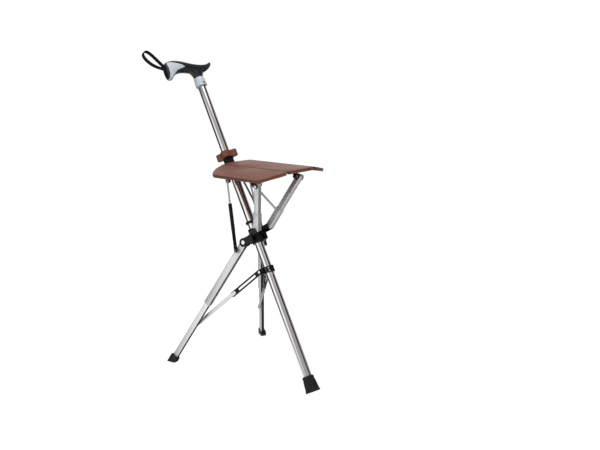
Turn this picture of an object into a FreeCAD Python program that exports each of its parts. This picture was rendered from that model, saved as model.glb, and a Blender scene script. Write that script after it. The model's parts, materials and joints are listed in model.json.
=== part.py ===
"""Walking stick seat: a cane whose sliding runner opens a three-panel seat on three legs.

The rest pose is the open seat. The floor is Z = 0, the stick lies in the plane Y = 0
and leans back, so its rubber foot is at +X and its handle at -X.
"""
import FreeCAD, Part
import os
import re
from math import cos, radians, sin, tan

import Sketcher
from FreeCAD import Placement, Rotation, Vector

SIZES = {
    "leanAngle": 33.0,
    "frameShift": 241.68,
    "poleRadius": 11.0,
    "poleWall": 1.5,
    "poleBottom": 6.0,
    "poleTop": 848.0,
    "footRadius": 19.4,
    "footTopRadius": 14.7,
    "footHeight": 40.6,
    "collarStart": 826.0,
    "collarHeight": 26.0,
    "slideGap": 0.3,
    "knobMid": 631.0,
    "knobThick": 16.0,
    "knobRadius": 27.5,
    "sleeveStart": 589.0,
    "bridgeHigh": 10.0,
    "sleeveRadius": 13.4,
    "cheekInner": 28.6,
    "cheekThick": 3.0,
    "seatHingeForward": 36.0,
    "seatHingeHeight": 574.5,
    "hookForward": 10.0,
    "hookHeight": 562.0,
    "stayForward": 26.0,
    "stayHeight": 582.0,
    "pinRadius": 2.5,
    "stayPinRadius": 2.0,
    "strutOffset": 12.6,
    "seatPitch": 6.0,
    "seatRearForward": 30.4,
    "seatRearHeight": 600.8,
    "seatLength": 248.0,
    "centreHalf": 40.0,
    "sideWidth": 63.0,
    "panelThick": 8.0,
    "sideDroop": 14.0,
    "rearBow": 16.0,
    "sideFold": 85.0,
    "bracketAlong": 163.0,
    "bracketAcross": 65.0,
    "bracketDepth": 35.0,
    "yokeThick": 2.4,
    "yokeWeb": 13.7,
    "upperTubeWide": 15.0,
    "upperTubeThick": 10.4,
    "upperSleeveWide": 17.6,
    "upperSleeveThick": 12.6,
    "tubeWall": 1.3,
    "upperSleeveLength": 58.0,
    "hubForward": 37.0,
    "hubSide": 18.5,
    "hubHeight": 416.5,
    "hubRadius": 15.5,
    "hubBottom": 391.0,
    "hubTop": 430.0,
    "hubRingTop": 450.0,
    "earGap": 0.35,
    "earThick": 3.0,
    "prongThick": 1.8,
    "legPivotForward": -19.0,
    "legPivotSide": 26.0,
    "legPivotHeight": 404.5,
    "legFootBack": -389.5,
    "legFootSide": 149.7,
    "channelWide": 18.0,
    "channelThick": 12.0,
    "channelLength": 198.0,
    "innerWide": 14.4,
    "innerThick": 8.6,
    "bracePivotAlong": 271.0,
    "strutPinAlong": 32.0,
    "strutSleeveAlong": 58.0,
    "strutSleeveLength": 68.0,
    "ringMid": 319.0,
    "ringHigh": 16.0,
    "ringRadius": 14.6,
    "earForward": -20.0,
    "earHeight": 322.0,
    "linkOffset": 10.6,
    "linkThick": 3.0,
    "linkLength": 100.0,
    "buttonHeight": 306.0,
}

doc = FreeCAD.newDocument("walking_stick_seat")
sheet = doc.addObject("Spreadsheet::Sheet", "Sizes")
for row, (alias, value) in enumerate(SIZES.items(), start=1):
    sheet.set("A%d" % row, alias)
    sheet.set("B%d" % row, str(value))
    sheet.setAlias("B%d" % row, alias)
doc.recompute()


def size(alias):
    """Return one driving dimension as it stands in the sheet."""
    return float(getattr(sheet, alias))


def linked(expression):
    """Turn an expression on sheet aliases into one that the document resolves."""
    return re.sub(r"[A-Za-z]\w*", lambda word: "Sizes." + word.group(0), expression)


def bind(thing, **expressions):
    """Bind properties of an object to expressions on the sheet's aliases."""
    for name, expression in expressions.items():
        thing.setExpression(name, linked(str(expression)))
    return thing


# Frames: the stick's own frame, the seat's frame and the legs' directions

lean = radians(size("leanAngle"))
NORMAL = Vector(cos(lean), 0, sin(lean))
ACROSS = Vector(0, 1, 0)
UPWARD = Vector(-sin(lean), 0, cos(lean))
STICK_FOOT = Vector(size("frameShift"), 0, size("footRadius") * sin(lean))
STICK = Placement(STICK_FOOT, Rotation(NORMAL, ACROSS, UPWARD, "ZXY"))

pitch = radians(size("seatPitch"))
FORWARD = Vector(cos(pitch), 0, sin(pitch))
SEAT_UP = Vector(-sin(pitch), 0, cos(pitch))


def on_stick(forward, across, height):
    """World point from distances forward of the stick's axis, across it and along it."""
    return STICK_FOOT + NORMAL * forward + ACROSS * across + UPWARD * height


def stick_vector(forward, across, height):
    """World direction from components in the stick's frame."""
    return NORMAL * forward + ACROSS * across + UPWARD * height


SEAT_REAR = on_stick(size("seatRearForward"), 0, size("seatRearHeight"))
SEAT = Placement(SEAT_REAR, Rotation(FORWARD, ACROSS, SEAT_UP, "ZXY"))


def frame(origin, x_axis, z_axis):
    """Placement with the given origin, local X and local Z."""
    z_axis = Vector(z_axis).normalize()
    x_axis = Vector(x_axis)
    x_axis = (x_axis - z_axis * x_axis.dot(z_axis)).normalize()
    return Placement(origin, Rotation(x_axis, z_axis.cross(x_axis), z_axis, "ZXY"))


def seat_point(along, across, height):
    """World point from distances along the seat, across it and above its top."""
    return SEAT.multVec(Vector(along, across, height))


def mirrored(vector, side):
    """Copy a vector, turned to the side's own half."""
    return Vector(vector.x, side * vector.y, vector.z)


BRACKET_PIVOT = seat_point(size("bracketAlong"), size("bracketAcross"), -size("bracketDepth"))
HUB_PIVOT = on_stick(size("hubForward"), size("hubSide"), size("hubHeight"))
LEG_PIVOT = on_stick(size("legPivotForward"), size("legPivotSide"), size("legPivotHeight"))
LEG_END = Vector(size("legFootBack") + size("frameShift"), size("legFootSide"), 0)
UPPER_AXIS = (HUB_PIVOT - BRACKET_PIVOT).normalize()
UPPER_LENGTH = (HUB_PIVOT - BRACKET_PIVOT).Length
LEG_AXIS = (LEG_END - LEG_PIVOT).normalize()
LEG_LENGTH = (LEG_END - LEG_PIVOT).Length
LEG_OUTWARD = LEG_AXIS.cross(UPWARD * -1).normalize() * -1
UPPER_OUTWARD = FORWARD.cross(UPPER_AXIS).normalize()

SIDES = {"left": 1, "right": -1}


# Small modelling helpers

def done(label, shape_object, place=None):
    """Name a finished sub-part and put it in its place."""
    shape_object.Label = label
    if place is not None:
        shape_object.Placement = place
    PARTS.append(shape_object)
    return shape_object


PARTS = []
counter = {}


def new_name(stem):
    """Next numbered name of a kind."""
    counter[stem] = counter.get(stem, 0) + 1
    return "%s_%d" % (stem, counter[stem])


def new(kind, stem):
    """Add one object to the document under a numbered name."""
    return doc.addObject(kind, new_name(stem))


def shifted(thing, x=0, y=0, z=0, turn=None):
    """Move a primitive inside its sub-part, with its place bound to the sheet."""
    if turn is not None:
        thing.Placement = Placement(Vector(), turn)
    for axis, value in (("x", x), ("y", y), ("z", z)):
        if value != 0:
            thing.setExpression("Placement.Base." + axis, linked(str(value)))
    return thing


def block(length, width, height, x=0, y=0, z=0, turn=None):
    """Box centred in X and Y, standing on its own z."""
    box = new("Part::Box", "block")
    bind(box, Length=length, Width=width, Height=height)
    return shifted(box, "%s - (%s) / 2" % (x, length), "%s - (%s) / 2" % (y, width), z, turn)


def rod(radius, height, x=0, y=0, z=0, turn=None):
    """Cylinder along local Z, unless it is turned."""
    cylinder = new("Part::Cylinder", "rod")
    bind(cylinder, Radius=radius, Height=height)
    return shifted(cylinder, x, y, z, turn)


ALONG_Y = Rotation(Vector(1, 0, 0), -90)
ALONG_X = Rotation(Vector(0, 1, 0), 90)


def cross_rod(radius, length, x=0, y=0, z=0):
    """Cylinder along local Y, centred on y."""
    return rod(radius, length, x, "%s - (%s) / 2" % (y, length), z, ALONG_Y)


def cut(base, *tools):
    """Subtract tools from a base."""
    result = new("Part::Cut", "cut")
    result.Base = base
    result.Tool = tools[0] if len(tools) == 1 else joined(*tools)
    return result


def joined(*things):
    """Fuse several shapes."""
    result = new("Part::MultiFuse", "fuse")
    result.Shapes = list(things)
    return result


def carried(place, *things):
    """Put one thing, or several fused, in a frame."""
    if len(things) > 1:
        holder = joined(*things)
    else:
        holder = new("Part::Compound", "held")
        holder.Links = list(things)
    holder.Placement = place
    return holder


def plate(points, thickness, y=0):
    """Flat piece: a polygon in local X and Z, padded evenly along Y about its own y."""
    body, sketch = sketched(new_name("plate"), "XZ_Plane", lambda drawn: outline(drawn, points))
    pad = body.newObject("PartDesign::Pad", body.Name + "_pad")
    pad.Profile = sketch
    pad.Midplane = True
    bind(pad, Length=thickness)
    body.Tip = pad
    return shifted(body, y=y)


def sketched(label, plane, draw):
    """Body with one sketch on an origin plane, drawn by a function."""
    body = doc.addObject("PartDesign::Body", label)
    sketch = body.newObject("Sketcher::SketchObject", label + "_sketch")
    role = next(item for item in body.Origin.OriginFeatures if item.Role == plane)
    sketch.AttachmentSupport = (role, [""])
    sketch.MapMode = "FlatFace"
    draw(sketch)
    return body, sketch


def outline(sketch, points, closed=True):
    """Draw a closed polygon, its corners joined one to the next."""
    first = sketch.GeometryCount
    count = len(points)
    for index in range(count):
        start, end = points[index], points[(index + 1) % count]
        sketch.addGeometry(Part.LineSegment(Vector(*start, 0), Vector(*end, 0)))
    for index in range(count):
        sketch.addConstraint(Sketcher.Constraint(
            "Coincident", first + index, 2, first + (index + 1) % count, 1))


def solid_feature(stem, shape):
    """Document object that holds a shape made with Part's own functions."""
    feature = new("Part::Feature", stem)
    feature.Shape = shape
    return feature


# The stick: tube, rubber foot, handle and strap

def make_pole():
    """Drawn tube of the stick, with the hole for the stop button."""
    outer = rod("poleRadius", "poleTop - poleBottom", z="poleBottom")
    bore = rod("poleRadius - poleWall", "poleTop", z="poleBottom - 1")
    button_hole = rod(3.1, "poleRadius + 2", z="buttonHeight", turn=ALONG_X)
    done("pole_tube", cut(outer, bore, button_hole), STICK)


def revolved(label, points):
    """Body made by turning a closed profile of radius and height about local Z."""
    body, sketch = sketched(label, "XZ_Plane", lambda drawn: outline(drawn, points))
    turned = body.newObject("PartDesign::Revolution", label + "_turned")
    turned.Profile = sketch
    turned.ReferenceAxis = (sketch, ["V_Axis"])
    turned.Angle = 360
    body.Tip = turned
    return body


def make_rubber_foot():
    """Bell-shaped rubber tip with a flat sole and a lip round the tube."""
    wide, narrow, high = size("footRadius"), size("footTopRadius"), size("footHeight")
    inside, floor = size("poleRadius"), size("poleBottom")
    bell = revolved("rubber_foot_bell", [
        (0, 0), (wide - 1.5, 0), (wide, 1.5), (wide, 5), (narrow, high - 2), (narrow - 2, high),
        (inside, high), (inside, floor), (0, floor)])
    done("rubber_foot", bell, STICK)


# Stations of the grip from its nose to its tail: across, lowest, highest and half width
GRIP_STATIONS = [
    (-92.5, 36, 62, 8.5), (-86, 31, 74.5, 12.5), (-78, 37, 78, 14.5), (-66, 44, 78, 15), (-47, 45.5, 76.5, 14.5),
    (-20, 39.5, 67.5, 13), (8, 34, 59, 13), (27, 38, 58, 12), (41, 46.5, 60.5, 9), (50, 55, 62.5, 5)]
NOSE_SPLIT = -76.0
NOSE_LEAN = 10.0


def oval(across, low, high, half):
    """Oval wire of four arcs at one station of the grip."""
    middle, rise = (low + high) / 2, (high - low) / 2
    spots = [Vector(half * cos(radians(turn)), across, middle + rise * sin(radians(turn)))
             for turn in range(0, 360, 45)]
    return Part.Wire([Part.Arc(spots[start], spots[start + 1], spots[(start + 2) % 8]).toShape()
                      for start in (0, 2, 4, 6)])


def make_handle():
    """Lofted grip with its stem, the nose cap split off by a leaning plane, the collar and its screw."""
    place = STICK.multiply(Placement(Vector(0, 0, size("collarStart")), Rotation()))
    grip = solid_feature("grip_loft", Part.makeLoft([oval(*station) for station in GRIP_STATIONS], True, False))
    stem = new("Part::Cone", "stem")
    bind(stem, Radius1="poleRadius + 0.8", Radius2="poleRadius + 3", Height=22)
    shifted(stem, z="collarHeight - 2")
    socket = rod("poleRadius", "poleTop - collarStart")
    nose = new("Part::Box", "nose_space")
    bind(nose, Length=60, Width=40, Height=90)
    nose.Placement = Placement(Vector(-30, NOSE_SPLIT, 10), Rotation(Vector(1, 0, 0), NOSE_LEAN)).multiply(
        Placement(Vector(0, -40, 0), Rotation()))
    cap = new("Part::Common", "nose_cap")
    cap.Base, cap.Tool = grip, nose
    done("handle_nose_cap", cap, place)
    done("handle_grip", cut(joined(grip, stem), nose, socket), place)

    sides = 12
    ring = [(size("poleRadius") + 3.9) / cos(radians(180 / sides))] * sides
    corners = [(reach * cos(radians(360 / sides * k)), reach * sin(radians(360 / sides * k)))
               for k, reach in enumerate(ring)]
    body, sketch = sketched("collar_body", "XY_Plane", lambda drawn: outline(drawn, corners))
    pad = body.newObject("PartDesign::Pad", "collar_pad")
    pad.Profile = sketch
    pad.TaperAngle = -4
    bind(pad, Length="collarHeight - 2")
    body.Tip = pad
    screw_seat = rod(3.4, 8, "13.2", 0, 6, ALONG_X)
    done("handle_collar", cut(body, screw_seat, rod("poleRadius", "collarHeight")), place)
    screw = joined(rod(3.3, 2.4, "13.2", 0, 6, ALONG_X), rod(1.4, 0.6, "15.4", 0, 6, ALONG_X))
    done("handle_screw", screw, place)


# The strap's route from the nose up, round its fold and back: across and height
STRAP_ROUTE = [(-89.5, 60.5), (-103.5, 82.5), (-114.5, 99.2), (-124.1, 110.1), (-132.1, 111.6), (-138.9, 107.2),
               (-140.7, 99.3), (-135.5, 86.5), (-124.5, 74), (-109.5, 64), (-89.5, 56.2)]
STRAP_WIDE = 9.0
STRAP_THICK = 1.8


def rounded_route(points):
    """Wire of straight runs joined by tangent arcs, each as large as its two runs allow."""
    edges, last, radii = [], points[0], []
    for before, corner, after in zip(points, points[1:], points[2:]):
        run_in, run_out = corner - before, after - corner
        half_turn = run_in.getAngle(run_out) / 2
        setback = 0.45 * min(run_in.Length, run_out.Length)
        radii.append(setback / tan(half_turn))
        start = corner - run_in.normalize() * setback
        end = corner + run_out.normalize() * setback
        inward = (run_out - run_in).normalize()
        middle = corner + inward * (radii[-1] / cos(half_turn) - radii[-1])
        edges += [Part.LineSegment(last, start).toShape(), Part.Arc(start, middle, end).toShape()]
        last = end
    edges.append(Part.LineSegment(last, points[-1]).toShape())
    print("strap radii", [round(radius, 1) for radius in radii])
    return Part.Wire(edges)


def make_strap():
    """Flat webbing loop that leaves the nose of the handle and comes back to it."""
    place = STICK.multiply(Placement(Vector(0, 0, size("collarStart")), Rotation()))
    route = rounded_route([Vector(0, across, height) for across, height in STRAP_ROUTE])
    band = route.makeOffset2D(STRAP_THICK, 0, True, True).extrude(Vector(STRAP_WIDE, 0, 0))
    band.translate(Vector(-STRAP_WIDE / 2, 0, 0))
    print("strap length", round(route.Length, 1), "volume share",
          round(band.Volume / (route.Length * STRAP_WIDE * STRAP_THICK), 3))
    done("wrist_strap", solid_feature("wrist_strap", band), place)


def make_stop_button():
    """Sprung button in the stick, with a narrower nose."""
    stem = rod(3.0, 4.2, "poleRadius - 3.4", 0, "buttonHeight", ALONG_X)
    nose = rod(2.4, 1.0, "poleRadius + 0.6", 0, "buttonHeight", ALONG_X)
    done("stop_button", joined(stem, nose), STICK)


# The runner: lobed knob, sleeve and the two cheeks that carry the seat

def make_runner():
    """Sleeve with two cheeks that carry the seat and the struts, and a lug for the stays."""
    low = size("sleeveStart")
    high = low + size("bridgeHigh")
    cheek = [(-9, high), (12, high), (15, 595), (22, 587), (30, 582), (40, 580), (42, 571), (35, 567), (21, 573),
             (16, 556), (5, 556), (3, 578), (-9, low - 3)]
    lug = [(9, high + 2), (16, high), (24, 589), (30, 586), (30, 578), (22, 577), (13, low + 2)]
    things = [rod("sleeveRadius", "knobMid - knobThick / 2 - sleeveStart", z="sleeveStart"),
              block(21, "2 * cheekInner + 1", "bridgeHigh", 1.5, 0, "sleeveStart"), plate(lug, 3)]
    things += [plate(cheek, "cheekThick", "%d * (cheekInner + cheekThick / 2)" % side) for side in SIDES.values()]
    holes = [rod("poleRadius + slideGap", 60, z="sleeveStart - 20"),
             cross_rod("pinRadius", 100, "seatHingeForward", 0, "seatHingeHeight"),
             cross_rod("pinRadius", 100, "hookForward", 0, "hookHeight"),
             cross_rod("stayPinRadius", 20, "stayForward", 0, "stayHeight")]
    done("runner_yoke", cut(joined(*things), *holes), STICK)

    lobes = [rod(14, "knobThick", z="knobMid - knobThick / 2") for index in range(4)]
    for index, lobe in enumerate(lobes):
        lobe.Placement = Placement(Vector(0, 0, size("knobMid") - size("knobThick") / 2), Rotation(
            Vector(0, 0, 1), 45 + 90 * index)).multiply(Placement(Vector(13.5, 0, 0), Rotation()))
    star = joined(rod(20, "knobThick", z="knobMid - knobThick / 2"), *lobes)
    done("star_knob", cut(star, rod("poleRadius + slideGap", 40, z="knobMid - 20")), STICK)

    seat_pins = [cross_rod("pinRadius", "cheekThick + 4", "seatHingeForward",
                           "%d * (cheekInner + cheekThick / 2 + 2)" % side, "seatHingeHeight")
                 for side in SIDES.values()]
    done("seat_hinge_pins", joined(*seat_pins), STICK)
    strut_pins = [cross_rod("pinRadius", "cheekThick + 5", "hookForward",
                            "%d * (cheekInner + cheekThick / 2 + 2.5)" % side, "hookHeight")
                  for side in SIDES.values()]
    done("strut_pins", joined(*strut_pins), STICK)
    stay_heads = [cross_rod(3.4, 0.8, "stayForward", 6.2 * side, "stayHeight") for side in SIDES.values()]
    done("stay_pin", joined(cross_rod("stayPinRadius", 12.6, "stayForward", 0, "stayHeight"), *stay_heads), STICK)


# The seat: three panels with interlocking knuckles along both seams

KNUCKLES = 7
KNUCKLE_GAP = 0.4
KNUCKLE_START = 4.0


def knuckle_span(index):
    """Start and length of one knuckle along the seam."""
    step = (size("seatLength") - 2 * KNUCKLE_START) / KNUCKLES
    return KNUCKLE_START + step * index, step - KNUCKLE_GAP


def make_centre_panel():
    """Middle panel with a bowed rear edge, knuckles on both seams and two lugs for the runner."""
    half = size("centreHalf") - size("panelThick") / 2 - 0.6
    length = size("seatLength")
    thick = size("panelThick")

    def draw(sketch):
        bow = Part.Arc(Vector(0, half, 0), Vector(-size("rearBow") / 2, 0, 0), Vector(0, -half, 0))
        sketch.addGeometry(bow)
        corners = [Vector(0, -half, 0), Vector(length, -half, 0), Vector(length, half, 0), Vector(0, half, 0)]
        for start, end in zip(corners, corners[1:]):
            sketch.addGeometry(Part.LineSegment(start, end))
    body, sketch = sketched("centre_panel_body", "XY_Plane", draw)
    pad = body.newObject("PartDesign::Pad", "centre_panel_pad")
    pad.Profile = sketch
    pad.setExpression("Length", linked("panelThick"))
    pad.Reversed = True
    body.Tip = pad
    half = size("centreHalf")
    things = [body]
    holes = []
    for sign in (1, -1):
        for index in range(0, KNUCKLES, 2):
            start, span = knuckle_span(index)
            things.append(rod("panelThick / 2", span, start, sign * half, "-panelThick / 2", ALONG_X))
            things.append(block(span, 5, "panelThick", start + span / 2, sign * (half - 2.6), "-panelThick"))
        holes.append(rod(1.6, "seatLength + 20", -10, sign * half, "-panelThick / 2", ALONG_X))
        lug_mid = size("cheekInner") + size("cheekThick") + 0.4 + 1.6
        hinge = SEAT.inverse().multVec(on_stick(size("seatHingeForward"), 0, size("seatHingeHeight")))
        things.append(cross_rod(6, 3.2, hinge.x, sign * lug_mid, hinge.z))
        things.append(block(12, 3.2, -hinge.z - thick / 2, hinge.x, sign * lug_mid, hinge.z))
        holes.append(cross_rod("pinRadius + 0.06", 8, hinge.x, sign * lug_mid, hinge.z))
    done("seat_panel_centre", cut(joined(*things), *holes), SEAT)
    pins = [rod(1.6, "seatLength - 8", KNUCKLE_START, sign * half, "-panelThick / 2", ALONG_X) for sign in (1, -1)]
    done("seam_hinge_pins", joined(*pins), SEAT)


def side_frame(side):
    """Frame of a side panel: X forward along the seam, Y outward, drooped from the seat."""
    origin = seat_point(0, side * size("centreHalf"), -size("panelThick") / 2)
    tilt = -side * size("sideDroop")
    return Placement(origin, SEAT.Rotation.multiply(Rotation(Vector(1, 0, 0), tilt)))


def make_side_panel(name, side):
    """Outer panel with swept ends and the knuckles that fit between the middle panel's."""
    wide = size("sideWidth")
    length = size("seatLength")
    inner = size("panelThick") / 2 + 0.5
    points = [(0, inner), (length, inner), (length - 6, wide * 0.28), (length - 17, wide * 0.53),
              (length - 33, wide - 3), (length - 38, wide), (38, wide), (31, wide - 2), (15, wide * 0.72),
              (4, wide * 0.45)]
    points = [(x, side * y) for x, y in points]

    def draw(sketch):
        outline(sketch, points)
    body, sketch = sketched("side_panel_body_" + name, "XY_Plane", draw)
    pad = body.newObject("PartDesign::Pad", "side_panel_pad_" + name)
    pad.Profile = sketch
    pad.setExpression("Length", linked("panelThick"))
    pad.Midplane = True
    body.Tip = pad
    things = [body]
    for index in range(1, KNUCKLES, 2):
        start, span = knuckle_span(index)
        things.append(rod("panelThick / 2", span, start, 0, 0, ALONG_X))
        things.append(block(span, 5.2, "panelThick", start + span / 2, side * 2.6, "-panelThick / 2"))
    hole = rod(1.66, "seatLength + 20", -10, 0, 0, ALONG_X)
    done("seat_panel_" + name, cut(joined(*things), hole), side_frame(side))


# Upper legs: clevis brackets under the side panels and telescoping tubes to the hub

def upper_frame(side):
    """Frame of an upper leg: Z from its bracket towards the hub, Y outward."""
    outward = mirrored(UPPER_OUTWARD, side)
    axis = mirrored(UPPER_AXIS, side)
    return frame(mirrored(BRACKET_PIVOT, side), outward.cross(axis), axis)


def yoke_frame(side):
    """Frame of a yoke: X along the seat, Y along the leg's rivet."""
    outward = mirrored(UPPER_OUTWARD, side)
    return Placement(mirrored(BRACKET_PIVOT, side), Rotation(FORWARD, outward, FORWARD.cross(outward), "ZXY"))


def make_bracket(name, side):
    """Base with a rear ear under a side panel, and the yoke that swivels on the ear and holds the leg."""
    panel = side_frame(side)
    pivot = panel.inverse().multVec(mirrored(BRACKET_PIVOT, side))
    under = -size("panelThick") / 2 - 0.1
    ear_back, ear_thick = "(yokeWeb + 4.8)", 3
    base = block(34, 22, 4.4, pivot.x - 5, pivot.y, under - 4.4)
    ear = joined(rod(5.6, ear_thick, "%s - %s" % (pivot.x, ear_back), pivot.y, pivot.z, ALONG_X),
                 block(ear_thick, 11.2, under - 2 - pivot.z, "%s - %s + 1.5" % (pivot.x, ear_back), pivot.y, pivot.z))
    hole = rod(2.28, 20, pivot.x - 28, pivot.y, pivot.z, ALONG_X)
    done("leg_bracket_" + name, cut(joined(base, ear), hole), panel)

    place = yoke_frame(side)
    cheek = "(upperTubeThick / 2 + 0.3 + yokeThick / 2)"
    things = [block(3, "2 * %s + yokeThick" % cheek, 8, "-yokeWeb", 0, -4)]
    for sign in (1, -1):
        middle = "%d * %s" % (sign, cheek)
        things += [cross_rod(7.5, "yokeThick", 0, middle), block("yokeWeb", "yokeThick", 8, "-yokeWeb / 2", middle, -4)]
    done("bracket_yoke_" + name, cut(joined(*things), cross_rod(2, 60), rod(2.2, 20, -25, 0, 0, ALONG_X)), place)

    head = "(upperTubeThick / 2 + 0.3 + yokeThick + 0.6)"
    leg_rivet = joined(cross_rod(2, "2 * %s" % head), cross_rod(4.2, 1.2, 0, head), cross_rod(4.2, 1.2, 0, "-" + head))
    swivel = joined(rod(2.2, 10.3, "-yokeWeb - 8.8", 0, 0, ALONG_X), rod(4, 1.2, "-yokeWeb - 6.3", 0, 0, ALONG_X))
    done("bracket_rivet_" + name, joined(leg_rivet, swivel), place)


def make_upper_leg(name, side):
    """Upper leg: a flat tube with a round head, and the sleeve that telescopes on its lower end."""
    place = upper_frame(side)
    wide, thick, wall = size("upperTubeWide"), size("upperTubeThick"), size("tubeWall")
    start = UPPER_LENGTH - size("upperSleeveLength")
    head = cross_rod("upperTubeWide / 2", "upperTubeThick")
    tube = block("upperTubeWide", "upperTubeThick", start + 2)
    hollow = block("upperTubeWide - 2 * tubeWall", "upperTubeThick - 2 * tubeWall", start - 16, 0, 0, 20)
    done("upper_leg_tube_" + name, cut(joined(head, tube), hollow, cross_rod(2.05, 40)), place)

    outer = block("upperSleeveWide", "upperSleeveThick", "upperSleeveLength - 2", 0, 0, start)
    socket = block("upperTubeWide + 0.4", "upperTubeThick + 0.4", "upperSleeveLength - 3", 0, 0, start - 1)
    done("upper_leg_sleeve_" + name, cut(outer, socket), place)


# The hub on the stick, with forks for the upper legs and arms for the lower legs

def leg_frame(side):
    """Frame of a lower leg: Z from the hub towards its foot, Y outward."""
    outward = mirrored(LEG_OUTWARD, side)
    axis = mirrored(LEG_AXIS, side)
    return frame(mirrored(LEG_PIVOT, side), outward.cross(axis), axis)


def upright_frame(origin, outward):
    """Frame with Z up the stick and Y along a level outward direction, X on the seat's side."""
    level = (outward - UPWARD * outward.dot(UPWARD)).normalize()
    return Placement(origin, Rotation(level.cross(UPWARD), level, UPWARD, "ZXY"))


def hub_ears(side):
    """Two ears round a lower leg's head, with the web that ties them to the barrel."""
    place = upright_frame(mirrored(LEG_PIVOT, side), mirrored(LEG_OUTWARD, side))
    toward = side
    offset = "(channelThick / 2 + earGap + earThick / 2)"
    things = []
    for sign in (1, -1):
        things.append(cross_rod(11, "earThick", 0, "%d * %s" % (sign, offset), 0))
        things.append(block(30, "earThick", 18, 15 * toward, "%d * %s" % (sign, offset), -8))
    things.append(block(10, "channelThick + 2 * earGap + 2 * earThick", 18, 23 * toward, 0, -8))
    return carried(place, *things)


def hub_fork(side):
    """Two prongs beside an upper leg's end and the block that ties them to the barrel."""
    outward = mirrored(UPPER_OUTWARD, side)
    across = outward.cross(UPWARD).normalize()
    place = Placement(mirrored(HUB_PIVOT, side), Rotation(across, outward, across.cross(outward), "ZXY"))
    toward = side
    offset = "(upperSleeveThick / 2 + 0.4 + prongThick / 2)"
    things = [block(25, "prongThick", 12, -8.5 * toward, "%d * %s" % (sign, offset), -4.2) for sign in (1, -1)]
    things.append(block(9, "upperSleeveThick + 0.8 + 2 * prongThick", 15, -25.5 * toward, 0, -8))
    return carried(place, *things)


def make_hub():
    """Barrel on the stick with a neck and lip, ears for the lower legs and forks for the upper ones."""
    barrel = [rod("hubRadius", "hubTop - hubBottom", z="hubBottom"),
              rod("hubRadius - 0.8", 6, z="hubRingTop - 6"),
              block(4, 13, "hubRingTop - hubTop + 8", "hubRadius - 2.6", 0, "hubTop - 8")]
    barrel += [block(30, 4.4, 24, 2, 13.6 * side, "legPivotHeight - 10") for side in SIDES.values()]
    things = [carried(STICK, *barrel)]
    for side in SIDES.values():
        things += [hub_ears(side), hub_fork(side)]
    holes = [carried(STICK, rod("poleRadius + slideGap", 300, z="hubBottom - 50"))]
    holes += [carried(leg_frame(side), cross_rod("pinRadius", 60)) for side in SIDES.values()]
    done("hub", cut(joined(*things), *holes))
    rivets = []
    for side in SIDES.values():
        rivets.append(carried(leg_frame(side), cross_rod("pinRadius", "channelThick + 2 * earGap + 2 * earThick"),
                              cross_rod(5.4, 1.1, 0, "channelThick / 2 + earGap + earThick + 0.55"),
                              cross_rod(5.4, 1.1, 0, "-channelThick / 2 - earGap - earThick - 0.55")))
    done("hub_rivets", joined(*rivets))


# Lower legs: open channel, sliding inner tube and wedge foot

def make_lower_leg(name, side):
    """Lower leg: an open channel, the tube that slides in it and a wedge foot cut flat on the ground."""
    place = leg_frame(side)
    head = cross_rod("channelWide / 2", "channelThick")
    shell = block("channelWide", "channelThick", "channelLength")
    hollow = block("channelWide - 2.8", "channelThick - 2.8", "channelLength", 0, 0, 14)
    mouth = block("channelWide / 2", "channelThick - 6", "channelLength", "%d * channelWide / 2" % -side, 0, 14)
    done("lower_leg_channel_" + name, cut(joined(head, shell), hollow, mouth, cross_rod("pinRadius + 0.06", 60)),
         place)
    end = LEG_LENGTH - 16
    start = size("channelLength") - 16
    tube = block("innerWide", "innerThick", end - start, 0, 0, start)
    bore = block("innerWide - 2.4", "innerThick - 2.4", end - start - 8, 0, 0, start - 1)
    done("lower_leg_inner_" + name, cut(tube, bore), place)
    sole = block(22, 14.3, 40, 0, 1.35, LEG_LENGTH - 20)
    socket = block("innerWide", "innerThick", 40, 0, 0, LEG_LENGTH - 40 - 16)
    ground = block(900, 900, 200, 0, 0, -200)
    done("lower_leg_foot_" + name, cut(carried(place, cut(sole, socket)), ground))


# Ring, braces, struts and stays

def ring_ear_frame(side):
    """Frame of a ring's ear: Z up the stick, Y outward, at the brace's pivot."""
    return upright_frame(ring_pivot(side), mirrored(LEG_OUTWARD, side))


def make_ring():
    """Windowed collar with two ears that carry the braces."""
    ear_middle = "-(linkThick / 2 + 1.6)"
    things = [carried(STICK, rod("ringRadius", "ringHigh", z="ringMid - ringHigh / 2"))]
    for side in SIDES.values():
        things.append(carried(ring_ear_frame(side), cross_rod(7, 2.6, 0, ear_middle, 0),
                              block(22, 2.6, 14, 11 * side, ear_middle, -7)))
    holes = [carried(STICK, rod("poleRadius + slideGap", 60, z="ringMid - 30"))]
    for index in range(4):
        for level in (-3.6, 3.6):
            turn = Placement(Vector(0, 0, size("ringMid") + level - 2.1), Rotation(Vector(0, 0, 1), 90 * index + 20))
            holes.append(carried(STICK.multiply(turn), block(6, 7, 4.2, "ringRadius + 2", 0, 0)))
    holes += [carried(ring_ear_frame(side), cross_rod(1.8, 20)) for side in SIDES.values()]
    done("brace_ring", cut(joined(*things), *holes))
    rivets = []
    for side in SIDES.values():
        rivets.append(carried(ring_ear_frame(side), cross_rod(1.8, 8, 0, -1.0), cross_rod(3.6, 1.2, 0, 2.5)))
    done("ring_rivets", joined(*rivets))


def ring_pivot(side):
    """Pivot of a brace on the ring, in the plane that runs beside the leg's inner face."""
    outward = mirrored(LEG_OUTWARD, side)
    base = mirrored(LEG_PIVOT, side) - outward * size("linkOffset")
    guess = on_stick(size("earForward"), 0, size("earHeight"))
    drop = (guess - base).dot(outward) / ACROSS.dot(outward)
    return guess - ACROSS * drop


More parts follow.
